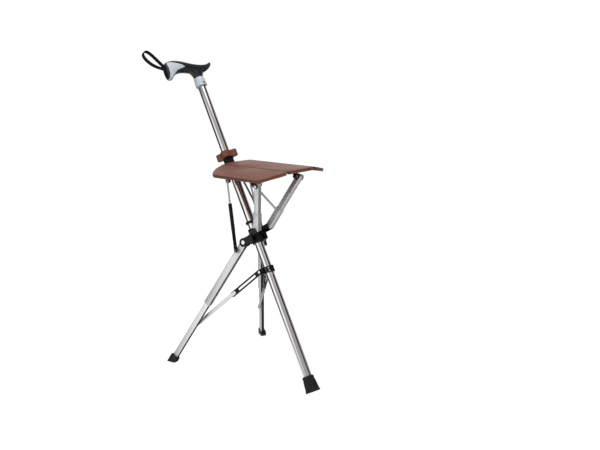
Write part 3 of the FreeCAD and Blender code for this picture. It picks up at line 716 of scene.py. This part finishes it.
@dataclass
class Studio:
    """The photograph's view of the object, on a pale floor in soft light."""

    target: Triple = (0.0417, 0.0, 0.420)
    azimuth: float = 51.47
    elevation: float = 15.43
    distance: float = 2.618
    lens: float = 63.53
    shift_x: float = 0.0631
    shift_y: float = -0.0207
    light: float = 0.50
    ceiling: float = 0.42
    floor_glow: float = 1.32
    floor_share: float = 0.72
    panels: tuple[Panel, ...] = (
        (-54.0, 9.0, 16.0, 32.0, 1.25), (35.0, 44.0, 6.0, 22.0, 0.75),
        (-110.0, -14.0, 22.0, 38.0, 0.03), (84.0, 36.0, 15.0, 32.0, 0.10),
        (180.0, 5.0, 25.0, 45.0, 1.0), (-20.0, 84.0, 10.0, 24.0, 2.6))
    low_flags: tuple[Panel, ...] = ((118.0, -46.0, 24.0, 42.0, 0.04),)
    low: tuple[float, float] = (-0.58, -0.44)
    floor_size: float = 400.0
    floor_tone: float = 0.55
    sensor: float = 36.0
    farthest: float = 50.0
    lamps: tuple[tuple[str, Triple, float, float], ...] = (
        ("key", (0.6, -0.9, 2.6), 1.6, 40.0), ("fill", (2.4, -0.2, 1.2), 1.4, 4.0))

    def build(self) -> None:
        """Add the camera, lamps, world and floor."""
        self._camera()
        for name, place, size, power in self.lamps:
            self._lamp(name, Vector(place), size, power)
        self._world()
        self._floor()
        bpy.context.scene.view_settings.view_transform = "Standard"
        log.info("studio ready")

    def _camera(self) -> None:
        """Camera at the photograph's angle."""
        away = self._aim(0.0, self.elevation)
        data = bpy.data.cameras.new("view")
        camera = added("view", data)
        camera.location = Vector(self.target) + away * self.distance
        camera.rotation_euler = (-away).to_track_quat("-Z", "Y").to_euler()
        data.lens = self.lens
        data.sensor_width = self.sensor
        data.shift_x = self.shift_x
        data.shift_y = self.shift_y
        data.clip_end = self.farthest
        bpy.context.scene.camera = camera

    def _lamp(self, name: str, place: Vector, size: float, power: float) -> None:
        """Square area lamp that faces the object.

        Args:
            name: Name of the lamp.
            place: Where it hangs.
            size: Its side in metres.
            power: Its power in watts.
        """
        data = bpy.data.lights.new(name, "AREA")
        data.size = size
        data.energy = power
        lamp = added(name, data)
        lamp.location = place
        lamp.visible_glossy = False
        lamp.rotation_euler = (Vector(self.target) - place).to_track_quat("-Z", "Y").to_euler()

    def _world(self) -> None:
        """White to the camera, level light on the object, and soft panels and flags in gloss."""
        world = bpy.data.worlds.new("studio")
        bpy.context.scene.world = world
        world.use_nodes = True
        graph = Graph(world.node_tree)
        towards = graph.node("ShaderNodeTexCoord", {}, {}, "Generated")
        low = 1 - graph.parts(towards)[2].smooth(*self.low)
        level = self._lit_by(graph, towards, Wire.of(graph, self.ceiling), self.panels)
        level = self._lit_by(graph, towards, level * (1 - low) + low, self.low_flags)
        gloss = graph.node("ShaderNodeLightPath", {}, {}, "Is Glossy Ray")
        seen = graph.node("ShaderNodeLightPath", {}, {}, "Is Camera Ray")
        strength = (level * gloss + (1 - gloss) * self.light) * (1 - seen) + seen
        lit = graph.node("ShaderNodeBackground", {}, {"Color": (1.0, 1.0, 1.0, 1.0),
                                                      "Strength": strength})
        graph.join(lit, "ShaderNodeOutputWorld")

    def _lit_by(self, graph: Graph, towards: Wire, level: Wire,
                panels: Sequence[Panel]) -> Wire:
        """Lay round soft-edged panels over a level of light.

        Args:
            graph: The world's graph.
            towards: Direction that is looked in.
            level: Light without the panels.
            panels: Azimuth, elevation, inner and outer radius in degrees, and light of each.

        Returns:
            Light with the panels.
        """
        for azimuth, elevation, inner, outer, value in panels:
            nearness = graph.towards(towards, self._aim(azimuth, elevation))
            mask = nearness.smooth(math.cos(math.radians(outer)), math.cos(math.radians(inner)))
            level = level * (1 - mask) + mask * value
        return level

    def _aim(self, azimuth: float, elevation: float) -> Vector:
        """Direction at an azimuth from the camera's side and an elevation, in degrees."""
        turn = math.radians(self.azimuth - 90.0 + azimuth)
        rise = math.radians(elevation)
        level = math.cos(rise)
        return Vector((math.cos(turn) * level, math.sin(turn) * level, math.sin(rise)))

    def _floor(self) -> None:
        """Wide pale floor, white to the camera apart from the object's shadow."""
        deselect()
        bpy.ops.mesh.primitive_plane_add(size=self.floor_size)
        floor = bpy.context.object
        floor.name = "floor"
        floor.visible_glossy = False
        material = bpy.data.materials.new("pale_floor")
        material.use_nodes = True
        graph = Graph(material.node_tree)
        tone = (self.floor_tone, self.floor_tone, self.floor_tone, 1.0)
        plain = graph.node("ShaderNodeBsdfDiffuse", {}, {"Color": tone})
        white = graph.node("ShaderNodeEmission", {}, {"Strength": self.floor_glow})
        seen = graph.node("ShaderNodeLightPath", {}, {}, "Is Camera Ray")
        share = seen * self.floor_share
        mixed = graph.node("ShaderNodeMixShader", {}, {0: share, 1: plain, 2: white})
        graph.join(mixed, "ShaderNodeOutputMaterial")
        floor.data.materials.append(material)


# Carried-over pieces

class Coat(Enum):
    """Finishes by the names that the pieces ask for."""

    BRIGHT = "polished_aluminium"
    PLATED = "plated_steel"
    RIVET = "rivet_steel"
    BLACK = "black_nylon"
    RUBBER = "black_rubber"
    GREY = "grey_handle"
    BROWN = "brown_panel"
    WEBBING = "webbing"
    GRIP = "soft_grip"
    KEYED = "keyed_tube"


class PaintShop:
    """Makes each finish once and lends it to the pieces."""

    black = ("brace_link", "bracket_yoke", "leg_bracket", "strut_slot")
    slides = {"upper_leg": "upper_sleeve", "lower_leg": "lower_inner", "brace": "brace_bar",
              "strut": "strut_sleeve"}

    def __init__(self) -> None:
        """Make the finishes."""
        self.coats = {
            Coat.BRIGHT: BrightTube(along=axis_of("runner_slide"), roughness=0.3).make(),
            # The stick's tube gets painted shade in its keyway grooves.
            Coat.KEYED: BrightTube("keyed_tube", keyways=True,
                                   along=axis_of("runner_slide")).make(),
            Coat.PLATED: PlatedSteel().make(),
            Coat.RIVET: PlatedSteel("rivet_steel", (0.86, 0.85, 0.84), 0.24).make(),
            Coat.BLACK: Moulded("black_nylon", (0.003, 0.003, 0.004), (0.010, 0.010, 0.011),
                                0.36, gloss=0.28).make(),
            Coat.RUBBER: Moulded("black_rubber", (0.004, 0.005, 0.006), (0.014, 0.015, 0.017),
                                 0.46, gloss=0.35).make(),
            Coat.GREY: Moulded("grey_grip", (0.50, 0.55, 0.59), (0.58, 0.63, 0.67),
                               0.40, 1100.0, 0.1).make(),
            Coat.BROWN: GrainedPanel().make(),
            Coat.WEBBING: Webbing().make(),
            Coat.GRIP: Moulded("soft_grip", (0.006, 0.007, 0.010), (0.018, 0.020, 0.026),
                               0.34, 900.0, 0.12, 0.6).make(),
        }
        self.tubes: dict[str, Material] = {}

    def paint(self, piece: Piece, coat: Coat) -> None:
        """Give a whole piece one finish."""
        piece.data.materials.clear()
        piece.data.materials.append(self.coats[coat])

    def _tube(self, node: str) -> Material:
        """Bright finish drawn along a node's own tube, taken from the joint that telescopes it."""
        side = node.rsplit("_", 1)[-1]
        for stem, joint in self.slides.items():
            name = f"{joint}_{side}"
            if node.startswith(stem) and name in JOINTS:
                if name not in self.tubes:
                    # Lower legs get painted shade on their side towards the stick.
                    self.tubes[name] = BrightTube(
                        "satin_" + name, (0.90, 0.89, 0.905), 0.42, metallic=0.72,
                        shaded=self._inside(name), along=axis_of(name)).make()
                return self.tubes[name]
        return self.coats[Coat.BRIGHT]

    @staticmethod
    def _inside(slide: str) -> Vector | None:
        """Direction of a lower leg's inner side, which lies in shade; None for other tubes."""
        if not slide.startswith("lower_inner"):
            return None
        hinge = slide.replace("lower_inner", "lower_leg")
        return axis_of(hinge).cross(-axis_of(slide)).normalized()

    def coat_of(self, node: str, slot: str) -> Coat:
        """Finish of a node: its slot's, apart from the few that the photograph shows in black."""
        return Coat.BLACK if node.startswith(self.black) else Coat(slot)

    def dress_nodes(self) -> None:
        """Give every carried-over node its finish by its slot."""
        for entry in frame["record"]["subparts"]:
            piece = frame["nodes"][entry["node"]]
            coat = self.coat_of(entry["node"], entry["material_slot"])
            piece.data.materials.clear()
            piece.data.materials.append(
                self._tube(entry["node"]) if coat is Coat.BRIGHT else self.coats[coat])


# Pieces

@dataclass(frozen=True)
class Easing:
    """Rounding of sharp edges: width in millimetres, steps and least angle, and the growth."""

    width: float
    steps: int = 2
    angle: float = 40.0
    grow: float = 0.0


@dataclass
class Fitter:
    """Puts finished pieces on their bodies in place of the solids that they stand for."""

    shop: PaintShop
    bodies: dict[str, str] = field(init=False)
    slots: dict[str, str] = field(init=False)

    def __post_init__(self) -> None:
        """Look up each node's body and material slot."""
        record = frame["record"]
        self.bodies = {node: body for body, nodes in record["behaviour"]["bodies"].items()
                       for node in nodes}
        self.slots = {entry["node"]: entry["material_slot"] for entry in record["subparts"]}

    def fit(self, piece: Piece, node: str) -> None:
        """Let a piece ride where its node rides and stand for it.

        Args:
            piece: The finished piece.
            node: The node that it replaces, which gives the body; its finish by slot is looked up and not used.
        """
        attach(piece, self.bodies[node])
        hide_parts(node)
        self.shop.coat_of(node, self.slots[node]).value
        log.info("%s rides on %s", piece.name, self.bodies[node])

    def coat_and_fit(self, piece: Piece, coat: Coat, node: str) -> None:
        """Give a whole piece one finish and let it stand for a node."""
        self.shop.paint(piece, coat)
        self.fit(piece, node)


@dataclass(frozen=True)
class Seam:
    """Hinge lines under a panel's straight edges: sunk knuckles with a thin lip over them."""

    joints: tuple[str, ...]
    lip_side: float
    droop: float = 0.0
    knuckle: float = 4.0
    sunk: float = 0.66
    lip: float = 0.8
    lip_from: float = 1.1
    lip_to: float = 4.9
    long: float = 248.0
    short_by: float = 0.6
    below: float = 0.01
    crisp: float = 6.5
    crisp_share: float = 0.18
    skin_from: float = 0.6
    skin_to: float = 1.04

    def distance(self, spot: Vector) -> float:
        """Least distance of a place from the hinge lines, in metres."""
        return min((spot - Vector(JOINTS[joint]["pos_m"])).cross(axis_of(joint)).length
                   for joint in self.joints)

    def edge_share(self, spot: Vector) -> float:
        """Share of the rounding's width that an edge gets: little beside the hinge lines."""
        return 1.0 if self.distance(spot) > self.crisp * MM else self.crisp_share

    def cover(self, piece: Piece) -> None:
        """Sink the knuckles below the panel's top and lay a lip over each hinge line."""
        for joint in self.joints:
            place, axis = Vector(JOINTS[joint]["pos_m"]), axis_of(joint)
            for vertex in piece.data.vertices:
                foot = place + axis * (vertex.co - place).dot(axis)
                arm = vertex.co - foot
                share = arm.length / (self.knuckle * MM)
                if self.skin_from < share < self.skin_to:
                    vertex.co = foot + arm * self.sunk
            carve(piece, self._lip(joint), "UNION")

    def _lip(self, joint: str) -> Piece:
        """Thin strip beside one hinge line, flush with the panel's top."""
        side = 1.0 if joint.endswith("left") else -1.0
        forward = axis_of(joint) * -side
        level = Vector((0.0, 1.0, 0.0))
        up = forward.cross(level)
        turn = math.radians(self.droop)
        outward = level * side * math.cos(turn) - up * math.sin(turn)
        up = up * math.cos(turn) + level * side * math.sin(turn)
        where = Frame(Vector(JOINTS[joint]["pos_m"]), forward, outward * side, up)
        middle = (self.lip_from + self.lip_to) / 2 * self.lip_side * side
        size = Vector((self.long - self.short_by, self.lip_to - self.lip_from, self.lip))
        high = self.knuckle - self.lip / 2 - self.below
        return block(size, Vector((self.long / 2, middle, high)), 0.0, where)


SEAMS = {"seat_panel_left": Seam(("side_fold_left",), 1.0, 14.0),
         "seat_panel_right": Seam(("side_fold_right",), 1.0, 14.0),
         "seat_panel_centre": Seam(("side_fold_left", "side_fold_right"), -1.0)}


@dataclass(frozen=True)
class RingWindows:
    """Openings in two rows round the brace ring, through which the bright tube shows."""

    middle: float = 319.0
    turns: tuple[float, ...] = (-85.0, -31.0, 31.0, 85.0)
    levels: tuple[float, ...] = (-3.5, 3.5)
    size: Triple = (7.0, 8.5, 4.4)
    reach: float = 14.6

    def cut(self, piece: Piece) -> None:
        """Cut every opening through the ring's wall."""
        for turn in self.turns:
            for level in self.levels:
                place = Vector((self.reach, 0.0, self.middle + level))
                carve(piece, block(Vector(self.size), place, turn, STICK), "DIFFERENCE")


@dataclass
class EasedHardware:
    """Rigid pieces that keep their solids' shapes and get the rounded edges of the real ones."""

    fitter: Fitter
    merge: float = 0.004
    flat: float = 1.0
    wider: float = 1.4
    easings: dict[str, Easing] = field(default_factory=lambda: {
        "seat_panel": Easing(1.7, 4), "leg_bracket": Easing(0.5), "bracket_yoke": Easing(0.4),
        "bracket_rivet": Easing(0.4), "upper_leg": Easing(1.1, 3), "lower_leg_channel": Easing(0.5),
        "lower_leg_inner": Easing(1.3, 3), "lower_leg_foot": Easing(1.8, 3),
        "brace_link": Easing(0.4, grow=0.5), "brace_bar": Easing(0.5), "brace_rivet": Easing(0.35),
        "strut_rod": Easing(0.3), "strut_sleeve": Easing(0.9, 3, grow=0.8),
        "strut_slot": Easing(0.35, grow=0.4), "strut_rivet": Easing(0.3), "stay": Easing(0.35),
        "hub": Easing(0.6, 3), "runner_yoke": Easing(0.7, 3), "brace_ring": Easing(0.5),
        "ring_rivets": Easing(0.35), "handle_collar": Easing(0.7, 3), "handle_screw": Easing(0.4),
        "seat_hinge_pins": Easing(0.5), "strut_pins": Easing(0.5), "stop_button": Easing(0.5)})

    def build(self) -> None:
        """Ease every node that no modelled piece replaces."""
        for node in frame["nodes"]:
            easing = self._easing(node)
            if easing is not None:
                self.fitter.fit(self._eased(node, easing), node)

    def _easing(self, node: str) -> Easing | None:
        """Easing of a node, or None where it stays or is modelled anew."""
        names = [name for name in self.easings if node.startswith(name)]
        return self.easings[max(names, key=len)] if names else None

    def _eased(self, node: str, easing: Easing) -> Piece:
        """Copy a node's mesh, merge its triangles to whole faces and round its sharp edges.

        Args:
            node: The carried-over node.
            easing: Width, steps and least angle.

        Returns:
            The new piece.
        """
        piece = added(node + "_eased", frame["nodes"][node].data.copy())
        activate(piece)
        bpy.ops.object.mode_set(mode="EDIT")
        bpy.ops.mesh.select_all(action="SELECT")
        bpy.ops.mesh.remove_doubles(threshold=self.merge * MM)
        bpy.ops.mesh.dissolve_limited(angle_limit=math.radians(self.flat))
        bpy.ops.object.mode_set(mode="OBJECT")
        if node == "brace_ring":
            RingWindows().cut(piece)
        if node.startswith("brace_link"):
            self._widen(piece, node)
        seam = SEAMS.get(node)
        if seam:
            seam.cover(piece)
            mark_edges(piece, easing.angle, seam.edge_share)
        apply_modifier(piece, "BEVEL", width=easing.width * MM, segments=easing.steps,
                       limit_method="WEIGHT" if seam else "ANGLE",
                       angle_limit=math.radians(easing.angle))
        if easing.grow:
            apply_modifier(piece, "DISPLACE", strength=easing.grow * MM, mid_level=0.0)
        return smoothed(piece, 38.0)

    def _widen(self, piece: Piece, node: str) -> None:
        """Stretch a brace link across its length, as wide as the photograph shows it."""
        side = node.rsplit("_", 1)[-1]
        pivot = Vector(JOINTS[f"brace_{side}"]["pos_m"])
        across = axis_of(f"brace_{side}").cross(axis_of(f"brace_bar_{side}")).normalized()
        for vertex in piece.data.vertices:
            vertex.co += across * (vertex.co - pivot).dot(across) * (self.wider - 1.0)


@dataclass
class Stick:
    """The drawn tube with its keyways and the fluted rubber foot."""

    fitter: Fitter
    bottom: float = 20.0
    top: float = 848.0
    sides: int = 72
    keyway_faces: int = 5
    keyway_depth: float = 1.3
    keyway_rounding: float = 0.25
    flutes: int = 16
    flute_form: tuple[float, ...] = (0.0, 0.0, 0.75, 1.0, 0.75, 0.0)
    foot_rings: tuple[Triple, ...] = (
        (0.0, 17.6, 0.0), (0.9, 18.9, 0.0), (3.6, 19.3, 0.0), (4.6, 18.6, 0.0), (5.2, 17.7, 0.0),
        (6.4, 17.6, 0.2), (8.0, 17.5, 1.7), (22.0, 16.2, 1.7), (29.0, 15.4, 1.3), (31.0, 14.6, 0.1),
        (31.8, 14.2, 0.0), (32.6, 14.9, 0.0), (37.6, 14.6, 0.0), (39.4, 14.2, 0.0),
        (40.4, 13.2, 0.0), (40.6, 11.9, 0.0))

    def build(self) -> None:
        """Make and fit both pieces."""
        self.fitter.coat_and_fit(self._tube(), Coat.KEYED, "pole_tube")
        self.fitter.coat_and_fit(self._foot(), Coat.RUBBER, "rubber_foot")

    def _tube(self) -> Piece:
        """Tube with one keyway towards the seat and one behind, drawn in along its whole length."""
        deselect()
        high = self.top - self.bottom
        bpy.ops.mesh.primitive_cylinder_add(
            vertices=self.sides, radius=StickSizes.radius * MM, depth=high * MM,
            location=(0.0, 0.0, (self.bottom + high / 2) * MM))
        piece = bpy.context.object
        piece.name = "keyed_tube"
        bpy.ops.object.transform_apply(location=True, rotation=True, scale=True)
        bpy.ops.object.mode_set(mode="EDIT")
        half = math.pi / self.sides * self.keyway_faces
        for sign in (1.0, -1.0):
            pick_faces(piece, lambda face: abs(face.normal.z) < 0.5
                       and face.normal.x * sign > math.cos(half))
            push((-sign * self.keyway_depth * MM, 0.0, 0.0))
        bpy.ops.object.mode_set(mode="OBJECT")
        apply_modifier(piece, "BEVEL", width=self.keyway_rounding * MM, segments=2,
                       limit_method="ANGLE", angle_limit=math.radians(40.0))
        return smoothed(settle(piece, STICK), 30.0)

    def _foot(self) -> Piece:
        """Bell with a lip at the sole, flutes round its skirt and a plain collar."""
        sides = self.flutes * len(self.flute_form)
        centres = [(0.0, 0.0, height) for height, _, _ in self.foot_rings]
        piece = grown("fluted_foot", sides, centres, self._rim)
        apply_modifier(piece, "SUBSURF", levels=1, render_levels=1)
        return smoothed(settle(piece, STICK), 50.0)

    def _rim(self, ring: int, _: int, old: Vector) -> Vector:
        """Corner of a ring of the foot, drawn in along each flute by the ring's depth."""
        _, radius, flute = self.foot_rings[ring]
        turn = math.atan2(old.y, old.x)
        steps = len(self.flute_form)
        step = round(turn / (2 * math.pi) * self.flutes * steps) % steps
        reach = (radius - self.flute_form[step] * flute) * MM
        return Vector((reach * math.cos(turn), reach * math.sin(turn), old.z))


@dataclass
class Handle:
    """Soft black grip with a stem, the pale forked inlay round its nose, and the wrist strap."""

    fitter: Fitter
    stations: tuple[tuple[float, float, float, float], ...] = (
        (-92.6, 33.0, 66.5, 9.0), (-91.8, 29.5, 69.5, 11.0), (-88.0, 25.8, 73.5, 12.6),
        (-83.0, 25.6, 76.3, 13.6), (-77.0, 31.5, 77.8, 14.3), (-69.0, 38.2, 78.4, 14.8),
        (-57.0, 43.6, 77.6, 15.0), (-43.0, 44.6, 74.6, 14.5), (-28.0, 42.6, 69.8, 13.8),
        (-12.0, 38.5, 64.6, 13.2), (4.0, 36.0, 60.8, 13.0), (18.0, 37.5, 58.8, 12.6),
        (30.0, 41.0, 58.8, 11.4), (39.5, 46.5, 61.0, 9.4), (46.5, 52.5, 64.4, 7.0),
        (50.8, 57.6, 66.4, 4.4))
    stem: tuple[Triple, ...] = (
        (22.5, 12.3, 12.3), (26.0, 12.5, 12.7), (31.0, 12.7, 14.2), (36.0, 12.8, 17.5),
        (42.0, 12.4, 22.0), (50.0, 11.0, 23.0))
    inlay: tuple[tuple[float, float], ...] = (
        (-84.5, 72.0), (-76.0, 70.5), (-66.0, 67.5), (-55.0, 63.5), (-45.0, 59.5), (-39.5, 55.4),
        (-41.0, 53.4), (-48.0, 51.6), (-58.0, 49.2), (-66.0, 45.6), (-72.0, 40.0), (-77.0, 33.0),
        (-82.0, 25.0), (-87.0, 18.0), (-93.4, 20.0), (-90.5, 30.0), (-87.8, 42.0), (-87.2, 56.0),
        (-87.6, 66.0))
    inlay_rise: float = 0.7
    cutter_half: float = 20.0
    grip_sides: int = 20
    stem_sides: int = 24
    fullness: float = 0.8
    voxel: float = 1.1
    strap_route: tuple[tuple[float, float], ...] = (
        (-89.5, 60.5), (-103.5, 82.5), (-114.5, 99.2), (-124.1, 110.1), (-132.1, 111.6),
        (-138.9, 107.2), (-140.7, 99.3), (-135.5, 86.5), (-124.5, 74.0), (-109.5, 64.0),
        (-89.5, 56.2))
    strap_wide: float = 11.5
    strap_thick: float = 2.4

    def build(self) -> None:
        """Make and fit the strap, the grip and the inlay."""
        self.place = STICK.shifted(0.0, 0.0, StickSizes.collar_start)
        self._strap()
        grip = self._grip()
        inlay = self._inlay(grip)
        for piece, coat, node in ((grip, Coat.GRIP, "handle_grip"),
                                  (inlay, Coat.GREY, "handle_nose_cap")):
            self.fitter.coat_and_fit(smoothed(settle(piece, self.place), 50.0), coat, node)

    def _grip(self) -> Piece:
        """Lofted grip joined with its stem to one skin."""
        centres = [(0.0, y, (low + high) / 2) for y, low, high, _ in self.stations]
        grip = grown("soft_grip", self.grip_sides, centres, self._section, math.pi / 2)
        apply_modifier(grip, "SUBSURF", levels=2, render_levels=2)
        centres = [(0.0, 0.0, height) for height, _, _ in self.stem]
        carve(grip, grown("stem", self.stem_sides, centres, self._stem_corner), "UNION")
        apply_modifier(grip, "REMESH", mode="VOXEL", voxel_size=self.voxel * MM)
        apply_modifier(grip, "SMOOTH", factor=0.5, iterations=10)
        return grip

    def _inlay(self, grip: Piece) -> Piece:
        """Pale forked inlay: the grip's own skin, raised and cut to the fork's outline."""
        activate(grip)
        bpy.ops.object.duplicate()
        inlay = bpy.context.object
        inlay.name = "nose_inlay"
        apply_modifier(inlay, "DISPLACE", strength=self.inlay_rise * MM, mid_level=0.0)
        half = self.cutter_half
        cutter = grown("fork_cutter", len(self.inlay), ((-half, 0.0, 0.0), (half, 0.0, 0.0)),
                       lambda ring, rank, _: Vector(((-half, half)[ring], *self.inlay[rank])) * MM)
        carve(inlay, cutter, "INTERSECT")
        return inlay

    def _section(self, ring: int, rank: int, _: Vector) -> Vector:
        """Corner of one of the grip's sections, which are full ovals."""
        y, low, high, half = self.stations[ring]
        turn = 2 * math.pi * rank / self.grip_sides
        wide, rise = (math.copysign(abs(part) ** self.fullness, part)
                      for part in (math.cos(turn), math.sin(turn)))
        return Vector((wide * half, y, (low + high) / 2 + rise * (high - low) / 2)) * MM

    def _stem_corner(self, ring: int, _: int, old: Vector) -> Vector:
        """Corner of one of the stem's oval rings, at the angle that it had in the last one."""
        _, wide, deep = self.stem[ring]
        _, last_wide, last_deep = self.stem[max(ring - 1, 0)]
        turn = math.atan2(old.y * last_wide / last_deep, old.x)
        return Vector((math.cos(turn) * wide * MM, math.sin(turn) * deep * MM, old.z))

    def _strap(self) -> None:
        """Flat webbing loop along its smooth route, sewn into the nose."""
        points = [self.place.point(0.0, across, high) for across, high in self.strap_route]
        line = smooth_line(points)
        piece = flat_band("webbing_strap", line, self.place.direction(1.0, 0.0, 0.0),
                          self.strap_wide * MM, self.strap_thick * MM)
        self.fitter.coat_and_fit(smoothed(piece, 50.0), Coat.WEBBING, "wrist_strap")


@dataclass
class Knob:
    """Brown four-lobed knob on the runner, dished on top."""

    fitter: Fitter
    sides: int = 96
    lobes: int = 4
    lobe_reach: float = 16.5
    lobe_radius: float = 11.0
    core: float = 18.4
    thick: float = 16.0
    bore: float = 11.5
    drill: float = 60.0
    drill_sides: int = 48
    rim: float = 7.0
    dish: float = 1.2
    rounding: float = 3.6

    def build(self) -> None:
        """Make and fit the knob."""
        middle, half = StickSizes.knob_middle, self.thick / 2
        centres = ((0.0, 0.0, middle - half), (0.0, 0.0, middle + half))
        piece = grown("lobed_knob", self.sides, centres, self._corner, top=self._dished)
        deselect()
        bpy.ops.mesh.primitive_cylinder_add(
            vertices=self.drill_sides, radius=self.bore * MM, depth=self.drill * MM,
            location=(0.0, 0.0, middle * MM))
        carve(piece, bpy.context.object, "DIFFERENCE")
        apply_modifier(piece, "BEVEL", width=self.rounding * MM, segments=5, limit_method="ANGLE",
                       angle_limit=math.radians(50.0))
        self.fitter.coat_and_fit(smoothed(settle(piece, STICK), 40.0), Coat.BROWN, "star_knob")

    def _dished(self) -> None:
        """Sink the selected top within its rim."""
        bpy.ops.mesh.inset(thickness=self.rim * MM)
        push((0.0, 0.0, -self.dish * MM))

    def _corner(self, _ring: int, _rank: int, old: Vector) -> Vector:
        """Corner on the lobed outline, at a ring corner's angle."""
        turn = math.atan2(old.y, old.x)
        reach = self._reach(turn) * MM
        return Vector((math.cos(turn) * reach, math.sin(turn) * reach, old.z))

    def _reach(self, turn: float) -> float:
        """Outline's distance from the axis, in millimetres, at an angle."""
        period = 2 * math.pi / self.lobes
        off = (turn - period / 2 + math.pi * 4) % period
        off = min(off, period - off)
        across = self.lobe_reach * math.sin(off)
        if abs(across) >= self.lobe_radius:
            return self.core
        lobe = self.lobe_reach * math.cos(off) + math.sqrt(self.lobe_radius ** 2 - across ** 2)
        return max(self.core, lobe)


def main() -> None:
    """Build the studio and every piece in order."""
    logging.basicConfig(level=logging.INFO)
    Studio().build()
    shop = PaintShop()
    shop.dress_nodes()
    fitter = Fitter(shop)
    Handle(fitter).build()
    Stick(fitter).build()
    Knob(fitter).build()
    EasedHardware(fitter).build()


if __name__ == "__main__":
    main()
